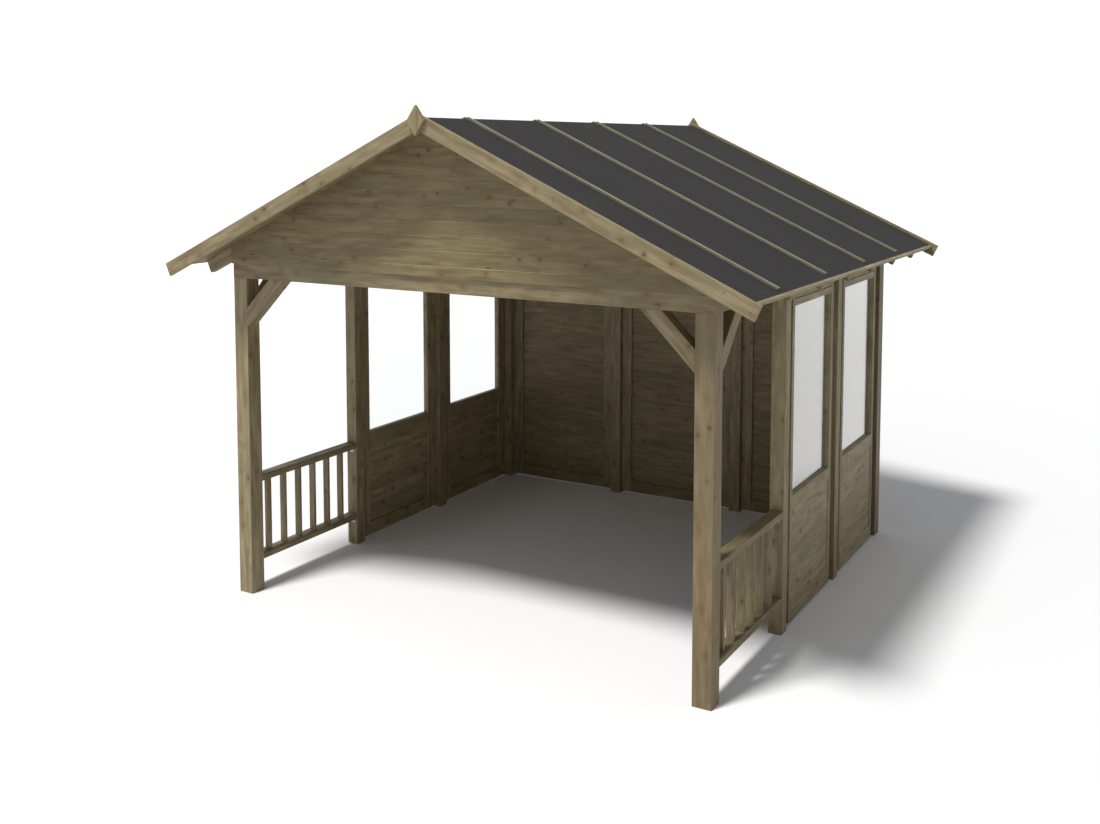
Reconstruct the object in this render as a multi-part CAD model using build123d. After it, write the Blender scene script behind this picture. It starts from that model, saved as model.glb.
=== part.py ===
from build123d import *
import os
from math import cos, radians, sin, tan

# A garden shelter of pressure-treated softwood: posts, beams and a pitched roof, with
# half-glazed side walls, a boarded rear wall, and a bay with a balustrade on each side.
# X runs across the front, Y runs from front to rear, Z is up, and the origin is on the
# ground at the middle of the plan. All sizes are in millimetres.

# Plan
width_over_posts = 3600
corner_post = 120
wall_post = 95
front_bay = 1070
side_panel_width = 1040

# Rounding of the edges of planed timber
edge_radius = 4

# Heights of the frame
beam_underside = 2250
beam_height = 145
beam_thickness = 120
plate_thickness = 95

# Roof structure
pitch = 25
rafter_depth = 95
rafter_thickness = 45
rafters_per_slope = 7
rafter_notch = 21
rafter_overhang = 260
ridge_thickness = 28
ridge_height = 125

# Roof covering
deck_thickness = 16
felt_thickness = 4
eaves_overhang = 300
verge_overhang = 255
eaves_trim_thickness = 20
eaves_trim_depth = 20
felt_batten_width = 30
felt_batten_height = 14
felt_batten_ridge_gap = 6
felt_batten_eaves_gap = 25
felt_battens_per_slope = 4
felt_strip = 870
last_felt_strip = 975

# Gable cladding, bargeboards and finials
cladding_thickness = 18
cladding_lap = 45
barge_depth = 95
barge_thickness = 25
barge_rise = 23
barge_reach = 64
finial_height = 187
finial_width = 128
finial_thickness = 25
finial_rise = 48

# Knee braces
brace_leg = 338
brace_depth = 95
brace_thickness = 95

# Balustrades
rail_thickness = 45
rail_height = 70
rail_recess = 32
top_rail_underside = 758
bottom_rail_underside = 185
baluster = 33
balusters_per_bay = 6

# Brackets under the ends of the rails
bracket_leg = 30
bracket_width = 40
bracket_sheet = 2

# Wall panels
panel_recess = 14
panel_thickness = 45
panel_ground_gap = 15
bottom_rail_height = 98
field_recess = 5
field_thickness = 20
side_strip_width = 75
side_strip_recess = 14
window_stile = 47
sill_rail_underside = 768
sill_height = 865
window_head_depth = 122
head_trim_height = 47
head_groove_height = 10
head_groove_depth = 6
pane_recess = 27
pane_thickness = 4
pane_lap = 10
rear_stile = 95
rear_top_rail = 95

# Places that follow from the sizes above
panel_places = ("front", "rear")
wall_run = front_bay + len(panel_places) * (wall_post + side_panel_width)
half_width = width_over_posts / 2
half_depth = (2 * corner_post + wall_run) / 2
post_inner = half_width - corner_post
beam_top = beam_underside + beam_height
plate_inner = half_width - plate_thickness
bay_front = -half_depth + corner_post
bay_rear = bay_front + front_bay
slope = tan(radians(pitch))
level = cos(radians(pitch))
rise = sin(radians(pitch))
rafter_under = beam_top - rafter_notch + slope * half_width
rafter_top = rafter_under + rafter_depth / level
deck_top = rafter_top + deck_thickness / level
felt_top = deck_top + felt_thickness / level
verge = half_depth + verge_overhang
eaves = half_width + eaves_overhang


def block(low, high):
    """A squared timber between its lowest and highest corners."""
    size = [far - near for near, far in zip(low, high)]
    return Pos(*low) * Box(*size, align=(Align.MIN, Align.MIN, Align.MIN))


def eased(piece):
    """A planed timber, with its four long edges rounded over."""
    return fillet(piece.edges().sort_by(SortBy.LENGTH)[-4:], edge_radius)


def cut_across(outline, front, rear):
    """A piece with an outline of (x, z) points, running from front to rear along Y."""
    face = Plane.XZ * make_face(Polyline(*outline, close=True))
    return Pos(0, front, 0) * extrude(face, amount=front - rear)


def cut_along(outline, left, right):
    """A piece with an outline of (y, z) points, running from left to right along X."""
    face = Plane.YZ * make_face(Polyline(*outline, close=True))
    return Pos(left, 0, 0) * extrude(face, amount=right - left)


def down_slope(top, thickness, start, end):
    """An outline along the right slope. top is the height its upper face has over the
    middle of the plan, thickness is square to the slope, start is a plumb cut and end
    the upper corner of a square cut."""
    end_under = end - thickness * rise
    return [
        (start, top - slope * start),
        (end, top - slope * end),
        (end_under, top - thickness / level - slope * end_under),
        (start, top - thickness / level - slope * start),
    ]


def other_side(piece):
    return mirror(piece, about=Plane.YZ)


def other_end(piece):
    return mirror(piece, about=Plane.XZ)


def save(name, *pieces):
    """Write the solids of one named piece."""
    solids = [solid for piece in pieces for solid in piece.solids()]
    whole = solids[0] if len(solids) == 1 else Compound(children=solids)
    export_step(whole, f"parts/{name}.step")


def save_pair(name, place, *right_pieces):
    """Write a right-hand piece and its mirror image on the left."""
    ending = f"_{place}" if place else ""
    save(f"{name}_right{ending}", *right_pieces)
    save(f"{name}_left{ending}", *[other_side(piece) for piece in right_pieces])


os.makedirs("parts", exist_ok=True)

# Corner posts
front_post = eased(
    block((post_inner, -half_depth, 0), (half_width, bay_front, beam_underside))
)
save_pair("corner_post_front", "", front_post)
save_pair("corner_post_rear", "", other_end(front_post))


# Posts in the side walls: one behind the open bay, and one between the two panels
def side_wall_post(front):
    low = (half_width - wall_post, front, 0)
    high = (half_width, front + wall_post, beam_underside)
    return eased(block(low, high))


panel_fronts = [
    bay_rear + wall_post + i * (side_panel_width + wall_post)
    for i in range(len(panel_places))
]
save_pair("bay_post", "", side_wall_post(bay_rear))
save_pair("side_post", "", side_wall_post(panel_fronts[1] - wall_post))

# Posts in the rear wall, which part it into three equal panels
rear_panel_width = (2 * post_inner - 2 * wall_post) / 3
rear_post = block(
    (rear_panel_width / 2, half_depth - wall_post, 0),
    (rear_panel_width / 2 + wall_post, half_depth, beam_underside),
)
save_pair("rear_post", "", eased(rear_post))

# Gable beams over the full width, and wall plates between them
front_beam = block(
    (-half_width, -half_depth, beam_underside),
    (half_width, -half_depth + beam_thickness, beam_top),
)
save("front_beam", eased(front_beam))
save("rear_beam", other_end(eased(front_beam)))

plate_end = half_depth - beam_thickness
wall_plate = block((plate_inner, -plate_end, beam_underside), (half_width, plate_end, beam_top))
save_pair("wall_plate", "", eased(wall_plate))


# Knee braces at forty-five degrees, one under the front beam and one under the wall plate
# at each front post, flush with the outer faces
def brace_outline(post_face, away):
    """Points from the face of the post, where away is 1 or -1 along the beam."""
    inner_leg = brace_leg - brace_depth / cos(radians(45))
    return [
        (post_face, beam_underside - brace_leg),
        (post_face + away * brace_leg, beam_underside),
        (post_face + away * inner_leg, beam_underside),
        (post_face, beam_underside - inner_leg),
    ]


front_brace = cut_across(
    brace_outline(post_inner, -1), -half_depth, -half_depth + brace_thickness
)
side_brace = cut_along(
    brace_outline(bay_front, 1), half_width - brace_thickness, half_width
)
save_pair("knee_brace_front", "", eased(front_brace))
save_pair("knee_brace_side", "", eased(side_brace))

# Balustrades: two rails with square balusters, equally spaced
rail_outer = half_width - rail_recess
rail_inner = rail_outer - rail_thickness
rail_middle = (rail_outer + rail_inner) / 2
baluster_gap = (front_bay - balusters_per_bay * baluster) / (balusters_per_bay + 1)


def rail(underside):
    low = (rail_inner, bay_front, underside)
    high = (rail_outer, bay_rear, underside + rail_height)
    return eased(block(low, high))


balustrade = rail(bottom_rail_underside) + rail(top_rail_underside)
for i in range(balusters_per_bay):
    front = bay_front + baluster_gap + i * (baluster + baluster_gap)
    low = (rail_middle - baluster / 2, front, bottom_rail_underside + rail_height)
    high = (rail_middle + baluster / 2, front + baluster, top_rail_underside)
    balustrade += eased(block(low, high))
save_pair("balustrade", "", balustrade)


# Folded angle brackets that hold each end of the rails to the posts, from below
def rail_bracket(underside):
    """A bracket at the rear end of a rail."""
    outline = [
        (bay_rear, underside),
        (bay_rear - bracket_leg, underside),
        (bay_rear - bracket_leg, underside - bracket_sheet),
        (bay_rear - bracket_sheet, underside - bracket_sheet),
        (bay_rear - bracket_sheet, underside - bracket_leg),
        (bay_rear, underside - bracket_leg),
    ]
    left = rail_middle - bracket_width / 2
    return cut_along(outline, left, left + bracket_width)


bay_middle = Plane.XZ.offset(-(bay_front + bay_rear) / 2)
brackets = []
for underside in (bottom_rail_underside, top_rail_underside):
    rear_bracket = rail_bracket(underside)
    for bracket in (rear_bracket, mirror(rear_bracket, about=bay_middle)):
        brackets += [bracket, other_side(bracket)]
save("rail_brackets", *brackets)

# Wall panels are drawn flat, with X along the wall, Y inwards from the outer face of the
# posts and Z up, and are then turned into place.
panel_face = panel_recess
panel_back = panel_face + panel_thickness
field_bottom = panel_ground_gap + bottom_rail_height


def recessed_field(panel, left, right, bottom, top):
    """Thin the panel to a field of boards, set back on both faces."""
    front = panel_face + field_recess
    panel -= block((left, panel_face, bottom), (right, front, top))
    return panel - block((left, front + field_thickness, bottom), (right, panel_back, top))


window_left = side_strip_width + window_stile
window_right = side_panel_width - window_left
window_top = beam_underside - window_head_depth


def pane():
    """The pane, whose edges lap into a groove round the window."""
    front = panel_face + pane_recess
    return block(
        (window_left - pane_lap, front, sill_height - pane_lap),
        (window_right + pane_lap, front + pane_thickness, window_top + pane_lap),
    )


def half_glazed_panel():
    """A boarded field below the sill rail, and a window above it."""
    strip_face = panel_face + side_strip_recess
    panel = block(
        (0, strip_face, panel_ground_gap), (side_panel_width, panel_back, beam_underside)
    )
    panel += block(
        (side_strip_width, panel_face, panel_ground_gap),
        (side_panel_width - side_strip_width, strip_face, beam_underside),
    )
    panel = recessed_field(panel, window_left, window_right, field_bottom, sill_rail_underside)
    groove_bottom = window_top + head_trim_height
    panel -= block(
        (window_left, panel_face, groove_bottom),
        (window_right, panel_face + head_groove_depth, groove_bottom + head_groove_height),
    )
    panel -= block(
        (window_left, panel_face, sill_height), (window_right, panel_back, window_top)
    )
    return panel - pane()


def boarded_panel():
    """A frame of stiles and rails round one tall boarded field."""
    panel = block(
        (0, panel_face, panel_ground_gap), (rear_panel_width, panel_back, beam_underside)
    )
    return recessed_field(
        panel,
        rear_stile,
        rear_panel_width - rear_stile,
        field_bottom,
        beam_underside - rear_top_rail,
    )


def on_right_wall(piece, front):
    return Pos(half_width, front, 0) * Rot(0, 0, 90) * piece


def on_rear_wall(piece, right):
    return Pos(right, half_depth, 0) * Rot(0, 0, 180) * piece


for place, front in zip(panel_places, panel_fronts):
    save_pair("side_panel", place, on_right_wall(half_glazed_panel(), front))
save_pair("window_panes", "", *[on_right_wall(pane(), front) for front in panel_fronts])

for i, place in enumerate(("right", "middle", "left")):
    right = post_inner - i * (rear_panel_width + wall_post)
    save(f"rear_panel_{place}", on_rear_wall(boarded_panel(), right))

# Rafters: plumb cut against the ridge board, notched over the plate, square cut at the tail
ridge_face = ridge_thickness / 2
rafter_end = half_width + rafter_overhang
upper_left, upper_right, lower_right, lower_left = down_slope(
    rafter_top, rafter_depth, ridge_face, rafter_end
)
seat_start = (rafter_under - beam_top) / slope
rafter_outline = [
    upper_left,
    upper_right,
    lower_right,
    (half_width, beam_top - rafter_notch),
    (half_width, beam_top),
    (seat_start, beam_top),
    lower_left,
]
rafter_pitch = (2 * half_depth - rafter_thickness) / (rafters_per_slope - 1)
rafter_fronts = [-half_depth + i * rafter_pitch for i in range(rafters_per_slope)]
save_pair(
    "rafters",
    "",
    *[cut_across(rafter_outline, front, front + rafter_thickness) for front in rafter_fronts],
)

# The ridge board runs between the two gables and stops at the back of their cladding.
ridge_top = rafter_top - slope * ridge_face
ridge_board = block(
    (-ridge_face, -half_depth, ridge_top - ridge_height),
    (ridge_face, half_depth, ridge_top),
)
save("ridge_board", ridge_board)

# Gable cladding, fixed to the face of each gable beam and of the end rafters
cladding_bottom = beam_top - cladding_lap
cladding_shoulder = rafter_top - slope * half_width
cladding = cut_across(
    [
        (-half_width, cladding_bottom),
        (half_width, cladding_bottom),
        (half_width, cladding_shoulder),
        (0, rafter_top),
        (-half_width, cladding_shoulder),
    ],
    -half_depth - cladding_thickness,
    -half_depth,
)
save("gable_cladding_front", cladding)
save("gable_cladding_rear", other_end(cladding))

# Roof boards and felt, each a flat layer over the whole slope
deck_end = eaves - felt_thickness * rise
deck = cut_across(down_slope(deck_top, deck_thickness, 0, deck_end), -verge, verge)
save_pair("roof_deck", "", deck)
felt = cut_across(down_slope(felt_top, felt_thickness, 0, eaves), -verge, verge)
save_pair("roof_felt", "", felt)

# Battens that hold the laps of the felt, square cut at both ends
batten_top = felt_top + felt_batten_height / level
batten_start = felt_batten_ridge_gap + felt_batten_height * rise
batten_outline = down_slope(
    batten_top, felt_batten_height, batten_start, eaves - felt_batten_eaves_gap
)
batten_outline[3] = (
    felt_batten_ridge_gap,
    felt_top - slope * felt_batten_ridge_gap,
)
battens = []
for i in range(felt_battens_per_slope):
    middle = verge - last_felt_strip - i * felt_strip
    batten = cut_across(
        batten_outline, middle - felt_batten_width / 2, middle + felt_batten_width / 2
    )
    battens += [batten, other_side(batten)]
save("felt_battens", *battens)

# Eaves trims, nailed to the square-cut edge of the deck and felt
trim_run = eaves_trim_thickness * level
trim_fall = eaves_trim_thickness * rise
trim_back = eaves_trim_depth * rise
trim_drop = eaves_trim_depth * level
eaves_height = felt_top - slope * eaves
eaves_trim = cut_across(
    [
        (eaves, eaves_height),
        (eaves + trim_run, eaves_height - trim_fall),
        (eaves + trim_run - trim_back, eaves_height - trim_fall - trim_drop),
        (eaves - trim_back, eaves_height - trim_drop),
    ],
    -verge,
    verge,
)
save_pair("eaves_trim", "", eaves_trim)

# Bargeboards over the ends of the deck, with a plumb joint under the finial
barge_top = felt_top + barge_rise
front_barge = cut_across(
    down_slope(barge_top, barge_depth, 0, eaves + barge_reach),
    -verge - barge_thickness,
    -verge,
)
save_pair("bargeboards", "", eased(front_barge), other_end(eased(front_barge)))

# Diamond finials on the face of the bargeboards
finial_top = barge_top + finial_rise
finial_middle = finial_top - finial_height / 2
finial = cut_across(
    [
        (0, finial_top),
        (finial_width / 2, finial_middle),
        (0, finial_top - finial_height),
        (-finial_width / 2, finial_middle),
    ],
    -verge - barge_thickness - finial_thickness,
    -verge - barge_thickness,
)
finial = fillet(finial.faces().sort_by(Axis.Y)[0].edges(), edge_radius)
save("finials", finial, other_end(finial))
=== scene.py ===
import random
from math import cos, radians, sin, tan

import bmesh
import bpy
from mathutils import Matrix, Vector


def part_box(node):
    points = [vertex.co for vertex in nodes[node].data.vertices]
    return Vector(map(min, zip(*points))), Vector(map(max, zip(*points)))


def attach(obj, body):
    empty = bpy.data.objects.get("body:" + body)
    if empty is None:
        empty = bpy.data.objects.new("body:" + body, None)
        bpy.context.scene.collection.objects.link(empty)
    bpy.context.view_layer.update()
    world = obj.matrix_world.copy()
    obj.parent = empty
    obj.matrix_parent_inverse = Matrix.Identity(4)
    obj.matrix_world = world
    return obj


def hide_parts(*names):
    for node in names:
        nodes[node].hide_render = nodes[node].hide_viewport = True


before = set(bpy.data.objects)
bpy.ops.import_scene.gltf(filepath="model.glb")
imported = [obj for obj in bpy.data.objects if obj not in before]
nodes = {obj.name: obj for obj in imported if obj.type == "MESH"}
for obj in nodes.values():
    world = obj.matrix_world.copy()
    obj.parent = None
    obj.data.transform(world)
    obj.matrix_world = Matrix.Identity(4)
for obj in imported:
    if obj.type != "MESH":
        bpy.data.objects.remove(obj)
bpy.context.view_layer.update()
draw = random.Random(25)

# Corner posts, and the lighter posts in the side and rear walls. They are sawn and planed
# lengths of pressure-treated softwood, stood on the ground, with their corners eased.
mm = 0.001


def linear(colour):
    """The linear value of an sRGB hex colour."""
    shares = [int(colour[i:i + 2], 16) / 255 for i in (1, 3, 5)]
    shares = [c / 12.92 if c <= 0.04045 else ((c + 0.055) / 1.055) ** 2.4 for c in shares]
    return (*shares, 1.0)


def add(tree, kind, inputs, **settings):
    """A node with its settings. Each input takes a value, or a link from another socket."""
    node = tree.nodes.new("ShaderNode" + kind)
    for setting, value in settings.items():
        setattr(node, setting, value)
    for place, value in inputs.items():
        if isinstance(value, bpy.types.NodeSocket):
            tree.links.new(value, node.inputs[place])
        else:
            node.inputs[place].default_value = value
    return node


def blank(name, kind="BsdfPrincipled"):
    """A new material with nothing in it but its shader."""
    material = bpy.data.materials.new(name)
    material.use_nodes = True
    tree = material.node_tree
    tree.nodes.clear()
    shader = add(tree, kind, {})
    add(tree, "OutputMaterial", {"Surface": shader.outputs[0]})
    return material, tree, shader


def laid(tree, under, over, pattern, none_at, most_at, most=1.0):
    """One colour laid over another: none of it where a pattern has the first value, and most
    of it, or all, where the pattern has the second."""
    share = {0: pattern, 1: none_at, 2: most_at, 3: 0.0, 4: most}
    share = add(tree, "MapRange", share).outputs[0]
    return add(tree, "Mix", {0: share, 6: under, 7: over}, data_type="RGBA").outputs[2]


along_x = (0, 0, 0)
along_y = (0, 0, radians(-90))
along_z = (0, radians(90), 0)


def pine(name, turn, seed, sap="#8c7f60", heart="#6b5b3d", green="#6f6b4c"):
    """Treated pine, planed. The eye sees streaky olive and brown areas, fine lines of grain
    that bend round soft dark knots, rings on sawn ends, and a dull surface. turn brings the
    grain to run along X, and seed is how far along the pattern, in metres, the piece begins."""
    material, tree, shader = blank(name)
    place = add(tree, "TexCoord", {}).outputs["Object"]
    face = add(tree, "NewGeometry", {}).outputs["Normal"]
    lying = {"Vector": place, "Rotation": turn, "Location": (seed, 0, 0)}
    lying = add(tree, "Mapping", lying).outputs[0]
    facing = add(tree, "Mapping", {"Vector": face, "Rotation": turn}).outputs[0]
    square = add(tree, "VectorMath", {0: facing}, operation="ABSOLUTE").outputs[0]
    across = add(tree, "VectorMath", {0: (1, 1, 1), 1: square}, operation="SUBTRACT").outputs[0]
    spread = add(tree, "VectorMath", {0: lying, 1: across}, operation="MULTIPLY").outputs[0]
    width = add(tree, "VectorMath", {0: spread, 1: (0, 1, 1)}, operation="DOT_PRODUCT")
    width = width.outputs["Value"]
    length = add(tree, "SeparateXYZ", {0: lying}).outputs[0]

    # Each face of a piece, and each board, cuts the pattern at a depth of its own
    face_depths = (1.7, 3.1, 5.3)
    board_depth = 37.0
    side = add(tree, "VectorMath", {0: facing, 1: face_depths}, operation="DOT_PRODUCT")
    board = add(tree, "Attribute", {}, attribute_name="board").outputs["Fac"]
    depth = {0: board, 1: board_depth, 2: side.outputs["Value"]}
    depth = add(tree, "Math", depth, operation="MULTIPLY_ADD").outputs[0]
    flat = add(tree, "CombineXYZ", {0: length, 1: width, 2: depth}).outputs[0]

    def speckled(length_mm, width_mm, where, detail=2.0, roughness=0.5, scale=1.0):
        """Noise in spots of about a length along the grain and a width across it."""
        spots = (1 / (length_mm * mm), 1 / (width_mm * mm), 1)
        spots = add(tree, "VectorMath", {0: where, 1: spots}, operation="MULTIPLY").outputs[0]
        inputs = {"Vector": spots, "Scale": scale, "Detail": detail, "Roughness": roughness}
        return add(tree, "TexNoise", inputs)

    # Knots 15 to 30 mm across and a little out of round, about one to half a metre of board,
    # which the grain round them passes in a bow 13 mm deep
    knot_cell = (1 / (125 * mm), 1 / (100 * mm), 1)
    unevenness = (0.22, 0.22, 0.0)
    bow = 13 * mm
    uneven = speckled(26, 20, flat).outputs["Color"]
    cells = add(tree, "VectorMath", {0: flat, 1: knot_cell}, operation="MULTIPLY").outputs[0]
    cells = {0: uneven, 1: unevenness, 2: cells}
    cells = add(tree, "VectorMath", cells, operation="MULTIPLY_ADD").outputs[0]
    knots = add(tree, "TexVoronoi", {"Vector": cells, "Scale": 1.0}).outputs["Distance"]
    halo = add(tree, "MapRange", {0: knots, 1: 0.10, 2: 0.46, 3: 1.0, 4: 0.0}).outputs[0]
    bent = add(tree, "Math", {0: halo, 1: bow, 2: width}, operation="MULTIPLY_ADD").outputs[0]
    bowed = add(tree, "CombineXYZ", {0: length, 1: bent, 2: depth}).outputs[0]

    # Growth rings cut at a low angle: arches about 700 mm long, in lines 8 to 12 mm apart,
    # which is coarser than the real 3 mm so that they show
    lines = 9.0
    figure = speckled(900, 75, bowed, detail=1.0).outputs[0]
    figure = add(tree, "Math", {0: figure, 1: lines}, operation="MULTIPLY").outputs[0]
    figure = add(tree, "Math", {0: figure, 1: 0.5}, operation="PINGPONG").outputs[0]
    figure = add(tree, "MapRange", {0: figure, 1: 0.0, 2: 0.5}).outputs[0]
    streak = speckled(320, 11, bowed, detail=3.0, roughness=0.65).outputs[0]
    streak = add(tree, "MapRange", {0: streak, 1: 0.3, 2: 0.7}).outputs[0]

    # Patches of sapwood and heartwood about 260 by 38 mm, a green tint over longer ones, the
    # darker lines and streaks, and the knots, with a tone of its own for each board
    patch = speckled(260, 38, flat, detail=3.0).outputs[0]
    tint = speckled(800, 170, flat, detail=1.0, scale=1.3).outputs[0]
    colour = laid(tree, linear(sap), linear(heart), patch, 0.38, 0.66)
    colour = laid(tree, colour, linear(green), tint, 0.42, 0.68, 0.6)
    dark = {0: 0.55, 6: colour, 7: linear("#4b3a24")}
    dark = add(tree, "Mix", dark, data_type="RGBA").outputs[2]
    colour = laid(tree, colour, dark, figure, 0.0, 1.0, 0.34)
    colour = laid(tree, colour, dark, streak, 1.0, 0.0, 0.36)
    colour = laid(tree, colour, linear("#5e4a27"), halo, 0.2, 1.0, 0.55)
    colour = laid(tree, colour, linear("#3a2a11"), knots, 0.15, 0.05, 0.82)
    tone = add(tree, "TexWhiteNoise", {"W": board}, noise_dimensions="1D").outputs["Value"]
    value = add(tree, "MapRange", {0: tone, 3: 0.86, 4: 1.12}).outputs[0]
    colour = add(tree, "HueSaturation", {"Color": colour, "Value": value}).outputs[0]

    # Rings on the sawn ends, 5 mm apart, round a heart somewhere near the piece
    heart_spacing = 170 * mm
    ring_spacing = 5 * mm
    section = add(tree, "VectorMath", {0: lying, 1: (0, 1, 1)}, operation="MULTIPLY").outputs[0]
    hearts = add(tree, "TexVoronoi", {"Vector": section, "Scale": 1 / heart_spacing})
    rings = {0: hearts.outputs["Distance"], 1: heart_spacing / ring_spacing}
    rings = add(tree, "Math", rings, operation="MULTIPLY").outputs[0]
    rings = add(tree, "Math", {0: rings, 1: 0.5}, operation="PINGPONG").outputs[0]
    rings = laid(tree, linear("#7f6c4b"), linear("#5d4a31"), rings, 0.0, 0.5)
    sawn = add(tree, "SeparateXYZ", {0: square}).outputs[0]
    colour = laid(tree, colour, rings, sawn, 0.8, 0.95)
    tree.links.new(colour, shader.inputs["Base Color"])

    gleam = add(tree, "MapRange", {0: streak, 3: 0.72, 4: 0.55}).outputs[0]
    tree.links.new(gleam, shader.inputs["Roughness"])
    relief = add(tree, "Math", {0: figure, 1: 0.5, 2: streak}, operation="MULTIPLY_ADD").outputs[0]
    bump = add(tree, "Bump", {"Height": relief, "Strength": 0.35, "Distance": 0.8 * mm})
    tree.links.new(bump.outputs[0], shader.inputs["Normal"])
    return material


def set_material(name, material):
    """Gives a CAD node its material."""
    piece = nodes[name]
    piece.data.materials.clear()
    piece.data.materials.append(material)
    return piece


def finish_node(name, material, eased=1.5 * mm):
    """A timber that keeps its modelled shape: its material, and its sharp edges eased."""
    piece = set_material(name, material)
    merge = piece.modifiers.new("merged", "WELD")
    merge.merge_threshold = 0.01 * mm
    bevel = piece.modifiers.new("eased", "BEVEL")
    bevel.width = eased
    bevel.segments = 2
    bevel.limit_method = "ANGLE"
    bevel.use_clamp_overlap = True


posts = [
    "corner_post_front_left", "corner_post_front_right", "corner_post_rear_left",
    "corner_post_rear_right", "bay_post_left", "bay_post_right", "side_post_left",
    "side_post_right", "rear_post_left", "rear_post_right",
]
# Three of them are given tones of their own, one lighter and two darker than the rest
tones = {
    "corner_post_front_left": ("#958869", "#776748"),
    "corner_post_front_right": ("#7c6b4f", "#645237"),
    "corner_post_rear_right": ("#66593f", "#53462d"),
}
for i, name in enumerate(posts):
    sap, heart = tones.get(name, ("#8c7f60", "#6b5b3d"))
    finish_node(name, pine("pine_" + name, along_z, 3.1 * i, sap, heart))

# Gable beams across the front and rear, and wall plates along the sides between them. They
# are solid softwood too, laid on the posts, with their lower edges flush with the post tops.
for i, name in enumerate(("front_beam", "rear_beam")):
    finish_node(name, pine("pine_" + name, along_x, 31.0 + 4.3 * i, "#84785a", "#655639"))
for i, name in enumerate(("wall_plate_left", "wall_plate_right")):
    finish_node(name, pine("pine_" + name, along_y, 41.0 + 4.3 * i))

# Knee braces between the front posts and the beam or the wall plate. Each is a short length
# of the same pine, cut at forty-five degrees at both ends and screwed on flush.
mitre = radians(45)
brace_turns = {
    "knee_brace_front_left": (0, mitre, 0), "knee_brace_front_right": (0, -mitre, 0),
    "knee_brace_side_left": (-mitre, 0, radians(-90)),
    "knee_brace_side_right": (-mitre, 0, radians(-90)),
}
for i, (name, turn) in enumerate(brace_turns.items()):
    finish_node(name, pine("pine_" + name, turn, 51.0 + 3.7 * i))

# Balustrades in the open bays: two rails as wide as the wall posts, laid flat and flush with
# them, and six balusters set on edge between the rails, all planed pine screwed together.
pine_rail = pine("pine_rails", along_y, 63.0, "#7d7154", "#605237")
pine_z = pine("pine_boards_upright", along_z, 71.0)


def shaped(middle, size, material, eased, long_edges, turn, upper, painted_highlight):
    """A length modelled in its place, its edges bevelled: all, or those along one axis."""
    bpy.ops.object.select_all(action="DESELECT")
    bpy.ops.mesh.primitive_cube_add(size=1, location=middle, rotation=turn)
    piece = bpy.context.object
    piece.scale = size
    bpy.ops.object.transform_apply(location=False, rotation=False, scale=True)
    for finish in (material, painted_highlight) if painted_highlight else (material,):
        piece.data.materials.append(finish)
    bpy.ops.object.mode_set(mode="EDIT")
    if long_edges is None:
        bpy.ops.mesh.bevel(offset=eased, segments=1, affect="EDGES")
    else:
        bpy.ops.mesh.select_mode(type="EDGE")
        # Upper and lower edges are told apart by their height, and upright ones by their depth
        parted = 1 if long_edges == 2 else 2
        for half, offset in ((-1, eased), (1, upper or eased)):
            bpy.ops.mesh.select_all(action="DESELECT")
            shape = bmesh.from_edit_mesh(piece.data)
            for edge in shape.edges:
                one, two = edge.verts[0].co, edge.verts[1].co
                along = abs((one - two).normalized()[long_edges]) > 0.99
                edge.select_set(along and half * (one[parted] + two[parted]) > 0)
            bmesh.update_edit_mesh(piece.data)
            # The upper bevels take the second material, much lighter than the wood: a painted
            # highlight along the top edge
            slot = 1 if painted_highlight and half == 1 else -1
            bpy.ops.mesh.bevel(offset=offset, segments=1, affect="EDGES", material=slot)
    bpy.ops.object.mode_set(mode="OBJECT")
    bpy.ops.object.transform_apply(location=True, rotation=True, scale=True)
    return piece


def toned(piece):
    """Gives a piece a tone of its own, which its wood reads from all points of its mesh."""
    tone = piece.data.attributes.get("board")
    if tone is None:
        tone = piece.data.attributes.new("board", "FLOAT", "POINT")
    value = draw.random()
    for point in tone.data:
        point.value = value
    return piece


# The mesh of each kind of length, and where its middle is
made = {}


def stock(low, high, material, eased, long_edges=None, turn=(0, 0, 0), upper=None, painted_highlight=None):
    """A length of timber or sheet between two corners, its edges eased: all, or those along
    one axis, where the upper ones can have a size of their own and a lighter material, which
    is a painted highlight. The first of each kind is modelled, and the rest are copies of it,
    each with its own mesh and tone."""
    low, high = Vector(low), Vector(high)
    middle = (low + high) / 2
    size = high - low
    kind = (
        tuple(round(side / mm, 3) for side in size), material.name, eased, long_edges, turn,
        upper, painted_highlight and painted_highlight.name,
    )
    if kind in made:
        mesh, first_middle = made[kind]
        piece = bpy.data.objects.new("copy", mesh.copy())
        piece.data.transform(Matrix.Translation(middle - first_middle))
        bpy.context.scene.collection.objects.link(piece)
    else:
        piece = shaped(middle, size, material, eased, long_edges, turn, upper, painted_highlight)
        made[kind] = (piece.data.copy(), middle)
    return toned(piece)


def joined(name, pieces, slot, *replaced):
    """One named piece made of several, in the place of CAD nodes."""
    bpy.ops.object.select_all(action="DESELECT")
    for piece in pieces:
        piece.select_set(True)
    bpy.context.view_layer.objects.active = pieces[0]
    bpy.ops.object.join()
    whole = bpy.context.object
    whole.name = name
    whole.data.name = name
    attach(whole, "root")
    if replaced:
        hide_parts(*replaced)


def inwards(way, *depths):
    """Places across the building, some depths in from its outer side face, in order."""
    return sorted(way * (half_width - depth) for depth in depths)


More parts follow.
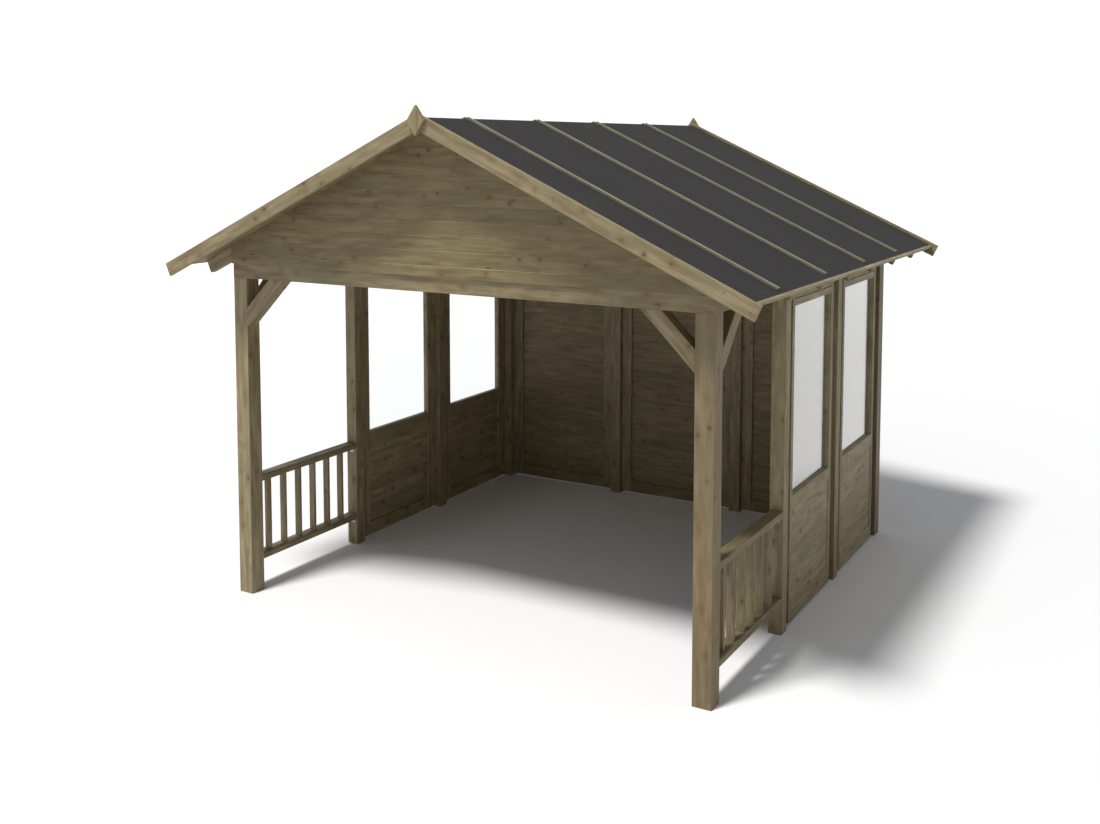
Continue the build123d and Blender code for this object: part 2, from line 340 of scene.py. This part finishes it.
half_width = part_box("corner_post_front_right")[1].x
bay_front, bay_rear = [corner.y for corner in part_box("balustrade_right")]
sides = {"left": -1, "right": 1}
rail_width = 95 * mm
rail_height = 45 * mm
rail_undersides = (205 * mm, 775 * mm)
rail_easing = 6 * mm
balusters = 6
baluster_depths = (23 * mm, 73 * mm)
baluster_thickness = 24 * mm
baluster_easing = 3 * mm
baluster_spacing = 159.5 * mm
first_baluster = bay_front + 114 * mm
for side, way in sides.items():
    parts = []
    edges = inwards(way, 0, rail_width)
    for bottom in rail_undersides:
        low = (edges[0], bay_front, bottom)
        high = (edges[1], bay_rear, bottom + rail_height)
        parts.append(stock(low, high, pine_rail, rail_easing))
    edges = inwards(way, *baluster_depths)
    for i in range(balusters):
        front = first_baluster + i * baluster_spacing
        low = (edges[0], front, rail_undersides[0] + rail_height)
        high = (edges[1], front + baluster_thickness, rail_undersides[1])
        parts.append(stock(low, high, pine_z, baluster_easing, 2))
    joined("balustrade_timber_" + side, parts, "frame_timber", "balustrade_" + side)


# Brackets under the ends of the rails: steel sheet folded at a right angle, dipped in zinc
# and screwed to the rail and the post.
def zinc(name, darker, lighter):
    """Galvanised steel. The eye sees softly mottled metal with a dull gleam, pale grey on new
    sheet and nearly black on a weathered nail. The patches of the zinc are 5 mm."""
    material, tree, shader = blank(name)
    place = add(tree, "TexCoord", {}).outputs["Object"]
    patches = add(tree, "TexVoronoi", {"Vector": place, "Scale": 1 / (5 * mm)}).outputs["Color"]
    tone = add(tree, "SeparateXYZ", {0: patches}).outputs[0]
    colour = laid(tree, linear(darker), linear(lighter), tone, 0.0, 1.0)
    tree.links.new(colour, shader.inputs["Base Color"])
    shader.inputs["Metallic"].default_value = 0.6
    shader.inputs["Roughness"].default_value = 0.45
    return material


sheet = zinc("galvanised_sheet", "#9b9d9b", "#b9bbb9")
bracket_leg = 30 * mm
bracket_sheet = 2 * mm
bracket_depths = (28 * mm, 68 * mm)
bracket_easing = 0.4 * mm
parts = []
for way in sides.values():
    edges = inwards(way, *bracket_depths)
    for top in rail_undersides:
        for post_face, inward in ((bay_front, 1), (bay_rear, -1)):
            for reach, drop in ((bracket_leg, bracket_sheet), (bracket_sheet, bracket_leg)):
                run = sorted((post_face, post_face + inward * reach))
                low = (edges[0], run[0], top - drop)
                high = (edges[1], run[1], top)
                parts.append(stock(low, high, sheet, bracket_easing))
joined("rail_brackets_sheet", parts, "galvanised_steel", "rail_brackets")

# Side panels: framed softwood panels screwed between the posts, with V-jointed boards below
# a sill rail and a window above it. Stiles and rails are planed and the boards lie in grooves.
pine_y = pine("pine_boards_deep", along_y, 67.0, "#948767", "#746445", "#77734f")
# The upper chamfer of each board is much lighter than the board: a painted highlight where light
# falls along its top edge
pine_y_painted_highlight = pine("painted_highlight_edges_deep", along_y, 67.0, "#c4b794", "#ab9c78", "#b0aa86")
planed = 2 * mm
groove_easing = 1 * mm
lower_edge = 0.5 * mm
upper_edge = 3.5 * mm


def panel_piece(wall, run, depth, height, material, eased=planed, long_edges=None, painted_highlight=None):
    """A piece of a panel, given along the wall, inwards and up, in millimetres. wall turns
    such a place into one in the building."""
    ends = [wall(run[i] * mm, depth[i] * mm, height[i] * mm) for i in (0, 1)]
    low = [min(pair) for pair in zip(*ends)]
    high = [max(pair) for pair in zip(*ends)]
    return stock(low, high, material, eased, long_edges, upper=upper_edge, painted_highlight=painted_highlight)


def courses(bottom, top, first_joint, cover):
    """The heights between which horizontal boards lie, none of them a sliver."""
    sliver = 8
    joints = [bottom]
    height = first_joint
    while height < top - sliver:
        if height > bottom + sliver:
            joints.append(height)
        height += cover
    return list(zip(joints, joints[1:] + [top]))


# In millimetres, up from the ground or in from the outer face
full_height = (15, 2250)
bottom_rail = (15, 113)
sill_rail = (768, 865)
window_head = (2128, 2175)
top_groove = (2174, 2186)
top_rail = (2185, 2250)
frame_depths = (14, 59)
groove_depths = (20, 59)
strip_depths = (28, 59)
board_depths = (19, 39)
edge_strip = 75
stile = 47
first_joint = 177
board_cover = 88.5
for side, way in sides.items():
    for where in ("front", "rear"):
        node = "side_panel_" + side + "_" + where
        low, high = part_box(node)
        width = round((high.y - low.y) / mm)
        between = (edge_strip + stile, width - edge_strip - stile)

        def side_wall(run, depth, height, way=way, front=low.y):
            return (way * (half_width - depth), front + run, height)

        parts = []
        for run in ((0, edge_strip), (width - edge_strip, width)):
            parts.append(panel_piece(side_wall, run, strip_depths, full_height, pine_z))
        for run in ((edge_strip, between[0]), (between[1], width - edge_strip)):
            parts.append(panel_piece(side_wall, run, frame_depths, full_height, pine_z))
        for height in (bottom_rail, sill_rail, window_head, top_rail):
            parts.append(panel_piece(side_wall, between, frame_depths, height, pine_y))
        strip = (side_wall, between, groove_depths, top_groove, pine_y, groove_easing)
        parts.append(panel_piece(*strip))
        for height in courses(bottom_rail[1], sill_rail[0], first_joint, board_cover):
            board = (side_wall, between, board_depths, height, pine_y, lower_edge, 1, pine_y_painted_highlight)
            parts.append(panel_piece(*board))
        joined(node + "_timber", parts, "cladding_timber", node)

# Rear wall: three framed panels, full height, screwed between the posts. Their boards are the
# same as the side panels', and their planed stiles are wider.
pine_x = pine("pine_boards_across", along_x, 61.0, "#7b6f4d", "#5d5032", "#62593b")
# The upper chamfer of each board is much lighter than the board: a painted highlight where light
# falls along its top edge
pine_x_painted_highlight = pine("painted_highlight_edges_across", along_x, 61.0, "#bfb28f", "#a69773", "#aaa580")
half_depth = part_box("corner_post_rear_right")[1].y
rear_stile = 95
rear_top_rail = (2155, 2250)
for where in ("left", "middle", "right"):
    node = "rear_panel_" + where
    low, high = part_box(node)
    width = (high.x - low.x) / mm
    between = (rear_stile, width - rear_stile)

    def rear_wall(run, depth, height, end=high.x):
        return (end - run, half_depth - depth, height)

    parts = []
    for run in ((0, rear_stile), (width - rear_stile, width)):
        parts.append(panel_piece(rear_wall, run, frame_depths, full_height, pine_z))
    for height in (bottom_rail, rear_top_rail):
        parts.append(panel_piece(rear_wall, between, frame_depths, height, pine_x))
    for height in courses(bottom_rail[1], rear_top_rail[0], first_joint, board_cover):
        board = (rear_wall, between, board_depths, height, pine_x, lower_edge, 0, pine_x_painted_highlight)
        parts.append(panel_piece(*board))
    joined(node + "_timber", parts, "cladding_timber", node)


# Panes of clear sheet in the side panels, one to a window. They are fixed, in a groove round
# the opening.
def glazing():
    """Clear glazing. The eye sees through it square on, and sees the pale sky in it at a
    low angle."""
    material, tree, pane = blank("clear_glazing", "MixShader")
    look = add(tree, "LayerWeight", {"Blend": 0.5}).outputs["Facing"]
    share = add(tree, "MapRange", {0: look, 1: 0.48, 2: 0.76, 3: 0.01, 4: 0.80}).outputs[0]
    clear = add(tree, "BsdfTransparent", {"Color": (0.97, 0.985, 0.98, 1)}).outputs[0]
    gloss = {"Color": (0.78, 0.775, 0.765, 1), "Roughness": 0.12}
    gloss = add(tree, "BsdfGlossy", gloss).outputs[0]
    for i, part in enumerate((share, clear, gloss)):
        tree.links.new(part, pane.inputs[i])
    return material


glass = glazing()
for name in ("window_panes_left", "window_panes_right"):
    set_material(name, glass)


# Gable cladding: horizontal V-jointed boards of the same pine, nailed over the beam and cut
# to the slope of the roof. Each has an upper edge planed off a little more or less, and
# painted lighter there as a highlight.
def cut(board, place, *outwards):
    """Saws off what lies outside planes through one place, and tones the new points too."""
    bpy.ops.object.select_all(action="DESELECT")
    board.select_set(True)
    bpy.context.view_layer.objects.active = board
    bpy.ops.object.mode_set(mode="EDIT")
    for normal in outwards:
        bpy.ops.mesh.select_all(action="SELECT")
        bpy.ops.mesh.bisect(plane_co=place, plane_no=normal, use_fill=True, clear_outer=True)
    bpy.ops.object.mode_set(mode="OBJECT")
    return toned(board)


pitch = radians(25)
slopes = [(way * sin(pitch), 0, cos(pitch)) for way in sides.values()]
first_gable_joint = 2423
gable_cover = 93.5
spare = 2 * mm
for end in ("front", "rear"):
    node = "gable_cladding_" + end
    low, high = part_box(node)
    parts = []
    for bottom, top in courses(low.z / mm, high.z / mm, first_gable_joint, gable_cover):
        reach = min(high.x, (high.z - bottom * mm) / tan(pitch) + spare)
        ends = (-reach, low.y, bottom * mm), (reach, high.y, top * mm)
        chamfer = draw.uniform(2.5, 4.5) * mm
        board = stock(*ends, pine_x, lower_edge, 0, upper=chamfer, painted_highlight=pine_x_painted_highlight)
        parts.append(cut(board, (0, 0, high.z), *slopes))
    joined(node + "_boards", parts, "cladding_timber", node)

# Rafters of sawn softwood, seven pairs, notched over the wall plates and nailed to them, and
# the ridge board that they meet.
down_slope = {side: (0, -way * pitch, 0) for side, way in sides.items()}
for side, turn in down_slope.items():
    finish_node("rafters_" + side, pine("pine_rafters_" + side, turn, 75.0), eased=2 * mm)
finish_node("ridge_board", pine("pine_ridge_board", along_y, 79.0), eased=2 * mm)

# Roof boards under the felt: twenty-four to a slope, laid along the building and nailed to
# the rafters, with V-joints that show from below. The two at the ridge are cut plumb.
pine_roof = pine("pine_roof_boards", along_y, 83.0, "#857355", "#6a573a")
roof_boards = 24
half_board = 8 * mm
past_ridge = 12 * mm
v_joint = 3 * mm
for side, way in sides.items():
    node = "roof_deck_" + side
    low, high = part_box(node)
    cover = max(abs(low.x), abs(high.x)) / cos(pitch) / roof_boards
    parts = []
    for i in range(roof_boards):
        start = i * cover if i else -past_ridge
        end = (i + 1) * cover
        middle = (start + end) / 2
        centre = Vector((
            way * (middle * cos(pitch) - half_board * sin(pitch)), 0,
            high.z - middle * sin(pitch) - half_board * cos(pitch),
        ))
        half_size = Vector(((end - start) / 2, high.y, half_board))
        ends = centre - half_size, centre + half_size
        board = stock(*ends, pine_roof, v_joint, 1, (0, way * pitch, 0), lower_edge)
        if not i:
            cut(board, (0, 0, 0), (-way, 0, 0))
        parts.append(board)
    joined(node + "_boards", parts, "roof_timber", node)


# Roofing felt in strips about a metre wide, laid up one slope and down the other, and nailed
# down where they lap.
def felt():
    """Bitumen felt faced with mineral grit. The eye sees a dull charcoal sheet with a fine
    speckle. The real 1 mm grit is drawn at 4 mm so that it shows."""
    material, tree, shader = blank("mineral_felt")
    place = add(tree, "TexCoord", {}).outputs["Object"]
    grit = {"Vector": place, "Scale": 1 / (4 * mm), "Detail": 2.0}
    grit = add(tree, "TexNoise", grit).outputs[0]
    cloud = {"Vector": place, "Scale": 1 / (400 * mm), "Detail": 3.0}
    cloud = add(tree, "TexNoise", cloud).outputs[0]
    colour = laid(tree, linear("#252424"), linear("#343333"), grit, 0.35, 0.65)
    shade = add(tree, "MapRange", {0: cloud, 1: 0.3, 2: 0.7, 3: 0.9, 4: 1.08}).outputs[0]
    colour = add(tree, "HueSaturation", {"Color": colour, "Value": shade}).outputs[0]
    tree.links.new(colour, shader.inputs["Base Color"])
    shader.inputs["Roughness"].default_value = 0.9
    shader.inputs["Specular IOR Level"].default_value = 0.1
    bump = add(tree, "Bump", {"Height": grit, "Strength": 0.5, "Distance": 1 * mm})
    tree.links.new(bump.outputs[0], shader.inputs["Normal"])
    return material


mineral_felt = felt()
for name in ("roof_felt_left", "roof_felt_right"):
    set_material(name, mineral_felt)

# Battens nailed over the laps of the felt, and the light trims that close the eaves. All are
# thin lengths of planed pine.
battens = pine("pine_felt_battens", along_x, 91.0, "#79735f", "#676050", "#686852")
finish_node("felt_battens", battens, eased=1 * mm)
for i, side in enumerate(sides):
    wood = pine("pine_eaves_trim_" + side, along_y, 93.0 + i)
    finish_node("eaves_trim_" + side, wood, eased=1 * mm)

# Bargeboards on both gables, planed boards that follow the slope, and a diamond finial over
# each joint at the peak.
for i, (side, turn) in enumerate(down_slope.items()):
    wood = pine("pine_bargeboards_" + side, turn, 97.0 + 3 * i)
    finish_node("bargeboards_" + side, wood, eased=1 * mm)
finish_node("finials", pine("pine_finials", along_z, 105.0), eased=1 * mm)

# Nails through the bargeboards, with flat steel heads 8 mm across that have weathered dark.
# One head is modelled, and a copy of it goes to each place.
barge_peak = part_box("bargeboards_right")[1].z
barge_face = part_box("bargeboards_right")[1].y
bpy.ops.object.select_all(action="DESELECT")
bpy.ops.mesh.primitive_cylinder_add(
    vertices=12, radius=4 * mm, depth=2 * mm, rotation=(radians(90), 0, 0),
)
head = bpy.context.object
bpy.ops.object.mode_set(mode="EDIT")
bpy.ops.mesh.bevel(offset=0.5 * mm, segments=1, affect="EDGES")
bpy.ops.object.mode_set(mode="OBJECT")
bpy.ops.object.transform_apply(location=True, rotation=True, scale=True)
head.data.materials.append(zinc("weathered_nail", "#37322a", "#4b463c"))

# Millimetres out from the peak, and down from the upper edge of the board there
nails = ((81, 35), (224, 66), (933, 46), (933, 68), (1506, 55), (1961, 36), (2106, 66))
heads = []
for across, down in nails:
    height = barge_peak - (down + across * tan(pitch)) * mm
    for way in sides.values():
        for face in (-barge_face, barge_face):
            nail = head.copy()
            nail.data = head.data.copy()
            nail.data.transform(Matrix.Translation((way * across * mm, face, height)))
            bpy.context.scene.collection.objects.link(nail)
            heads.append(nail)
bpy.data.objects.remove(head)
joined("barge_nails", heads, "galvanised_steel")

# The floor is a plain pale one with a painted glow in it: an emission that grows away from
# the middle, so that the far floor stays as white as a studio floor under its lamps. It lies
# under one wide lamp in front, high and a little left.
bpy.ops.object.select_all(action="DESELECT")
bpy.ops.mesh.primitive_plane_add(size=60, location=(0, 0, 0))
floor = bpy.context.object
floor.name = "floor"
pale, tree, shader = blank("pale_floor")
shader.inputs["Base Color"].default_value = (0.76, 0.765, 0.78, 1)
shader.inputs["Roughness"].default_value = 0.9
shader.inputs["Specular IOR Level"].default_value = 0.0
place = add(tree, "TexCoord", {}).outputs["Object"]
away = add(tree, "VectorMath", {0: place}, operation="LENGTH").outputs["Value"]
dark_radius = 4.0
bright_radius = 24.0
glow = 0.50
# A painted glow: the floor emits more light the further it lies from the middle
painted_glow = {0: away, 1: dark_radius, 2: bright_radius, 3: 0.0, 4: glow}
painted_glow = add(tree, "MapRange", painted_glow).outputs[0]
shader.inputs["Emission Color"].default_value = (1, 1, 1, 1)
tree.links.new(painted_glow, shader.inputs["Emission Strength"])
floor.data.materials.append(pale)

# The white surroundings light the scene less than they show
world = bpy.data.worlds.new("studio")
world.use_nodes = True
bpy.context.scene.world = world
tree = world.node_tree
tree.nodes.clear()
rays = add(tree, "LightPath", {}).outputs["Is Diffuse Ray"]
dim = add(tree, "Background", {"Color": (0.97, 0.98, 1.0, 1), "Strength": 0.40}).outputs[0]
bright = add(tree, "Background", {"Color": (1, 1, 1, 1), "Strength": 1.05}).outputs[0]
both = add(tree, "MixShader", {0: rays, 1: bright, 2: dim}).outputs[0]
add(tree, "OutputWorld", {"Surface": both})

disk = bpy.data.lights.new("high_lamp", "AREA")
disk.shape = "DISK"
disk.size = 9.6
disk.energy = 28660
disk.color = (1.0, 0.985, 0.96)
lamp = bpy.data.objects.new("high_lamp", disk)
bpy.context.scene.collection.objects.link(lamp)
lamp.location = (-6.5, -21.6, 45)
lamp.rotation_euler = lamp.location.to_track_quat("Z", "Y").to_euler()

# The camera stands about where the photograph was taken from. It is tilted a little further
# down than the real one and shifted less, so that the building stays in the other views too.
camera = bpy.data.cameras.new("camera")
camera.lens = 38.838
camera.shift_y = -0.16
holder = bpy.data.objects.new("camera", camera)
bpy.context.scene.collection.objects.link(holder)
holder.location = (4.244, -7.8195, 3.1866)
holder.rotation_euler = (radians(90 - 4.484), 0, radians(30.067))
bpy.context.scene.camera = holder
bpy.context.scene.view_settings.view_transform = "Standard"
